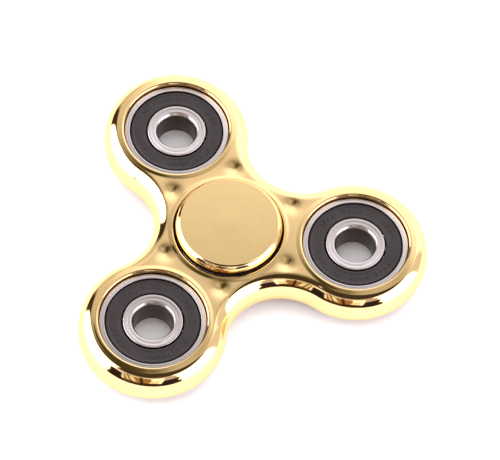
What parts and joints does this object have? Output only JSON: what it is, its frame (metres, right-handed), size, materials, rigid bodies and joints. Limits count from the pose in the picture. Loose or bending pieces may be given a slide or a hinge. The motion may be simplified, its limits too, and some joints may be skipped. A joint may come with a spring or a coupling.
{
  "type": "fidget spinner",
  "caption": "Three-lobed polished metal fidget spinner with a capped centre bearing and an open ball bearing in each lobe.",
  "frame": {"origin": "centre of the middle bearing, on the spin axis at mid thickness", "axes": "+Z along the spin axis towards the upper cap, +Y towards one lobe"},
  "size_m": [0.0756, 0.0695, 0.014],
  "materials": {
    "body_gold": "mirror polished gold plating",
    "cap_gold": "polished gold plating",
    "bearing_steel": "ground steel",
    "ball_steel": "polished",
    "cage_steel": "pressed sheet",
    "seal_rubber": "satin moulded rubber"
  },
  "bodies": {
    "hub": {"cap_top": "cap_gold", "cap_bottom": "cap_gold", "centre_inner_ring": "bearing_steel"},
    "spinner": {"spinner_body": "body_gold", "centre_outer_ring": "bearing_steel", "centre_seal_upper": "seal_rubber", "centre_seal_lower": "seal_rubber", "centre_stiffener_upper": "cage_steel", "centre_stiffener_lower": "cage_steel", "lobe_a_outer_ring": "bearing_steel", "lobe_a_seal_upper": "seal_rubber", "lobe_a_seal_lower": "seal_rubber", "lobe_a_stiffener_upper": "cage_steel", "lobe_a_stiffener_lower": "cage_steel", "lobe_b_outer_ring": "bearing_steel", "lobe_b_seal_upper": "seal_rubber", "lobe_b_seal_lower": "seal_rubber", "lobe_b_stiffener_upper": "cage_steel", "lobe_b_stiffener_lower": "cage_steel", "lobe_c_outer_ring": "bearing_steel", "lobe_c_seal_upper": "seal_rubber", "lobe_c_seal_lower": "seal_rubber", "lobe_c_stiffener_upper": "cage_steel", "lobe_c_stiffener_lower": "cage_steel"},
    "centre_cage": {"centre_cage_upper": "cage_steel", "centre_cage_lower": "cage_steel", "centre_cage_rivets": "cage_steel", "centre_balls": "ball_steel"},
    "lobe_a_cage": {"lobe_a_cage_upper": "cage_steel", "lobe_a_cage_lower": "cage_steel", "lobe_a_cage_rivets": "cage_steel", "lobe_a_balls": "ball_steel"},
    "lobe_a_inner": {"lobe_a_inner_ring": "bearing_steel"},
    "lobe_b_cage": {"lobe_b_cage_upper": "cage_steel", "lobe_b_cage_lower": "cage_steel", "lobe_b_cage_rivets": "cage_steel", "lobe_b_balls": "ball_steel"},
    "lobe_b_inner": {"lobe_b_inner_ring": "bearing_steel"},
    "lobe_c_cage": {"lobe_c_cage_upper": "cage_steel", "lobe_c_cage_lower": "cage_steel", "lobe_c_cage_rivets": "cage_steel", "lobe_c_balls": "ball_steel"},
    "lobe_c_inner": {"lobe_c_inner_ring": "bearing_steel"}
  },
  "joints": [
    {"name": "spin", "type": "hinge", "parent": "hub", "child": "spinner", "pos_m": [0, 0, 0], "axis": [0, 0, 1], "continuous": true},
    {"name": "centre_cage_turn", "type": "hinge", "parent": "hub", "child": "centre_cage", "pos_m": [0, 0, 0], "axis": [0, 0, 1], "continuous": true},
    {"name": "lobe_a_inner_turn", "type": "hinge", "parent": "spinner", "child": "lobe_a_inner", "pos_m": [0, 0.0262, 0], "axis": [0, 0, 1], "continuous": true},
    {"name": "lobe_a_cage_turn", "type": "hinge", "parent": "spinner", "child": "lobe_a_cage", "pos_m": [0, 0.0262, 0], "axis": [0, 0, 1], "continuous": true},
    {"name": "lobe_b_inner_turn", "type": "hinge", "parent": "spinner", "child": "lobe_b_inner", "pos_m": [0.02269, -0.0131, 0], "axis": [0, 0, 1], "continuous": true},
    {"name": "lobe_b_cage_turn", "type": "hinge", "parent": "spinner", "child": "lobe_b_cage", "pos_m": [0.02269, -0.0131, 0], "axis": [0, 0, 1], "continuous": true},
    {"name": "lobe_c_inner_turn", "type": "hinge", "parent": "spinner", "child": "lobe_c_inner", "pos_m": [-0.02269, -0.0131, 0], "axis": [0, 0, 1], "continuous": true},
    {"name": "lobe_c_cage_turn", "type": "hinge", "parent": "spinner", "child": "lobe_c_cage", "pos_m": [-0.02269, -0.0131, 0], "axis": [0, 0, 1], "continuous": true}
  ],
  "couplings": [
    {"joint": "centre_cage_turn", "follows": "spin", "ratio": 0.6323},
    {"joint": "lobe_a_cage_turn", "follows": "lobe_a_inner_turn", "ratio": 0.3677},
    {"joint": "lobe_b_cage_turn", "follows": "lobe_b_inner_turn", "ratio": 0.3677},
    {"joint": "lobe_c_cage_turn", "follows": "lobe_c_inner_turn", "ratio": 0.3677}
  ]
}
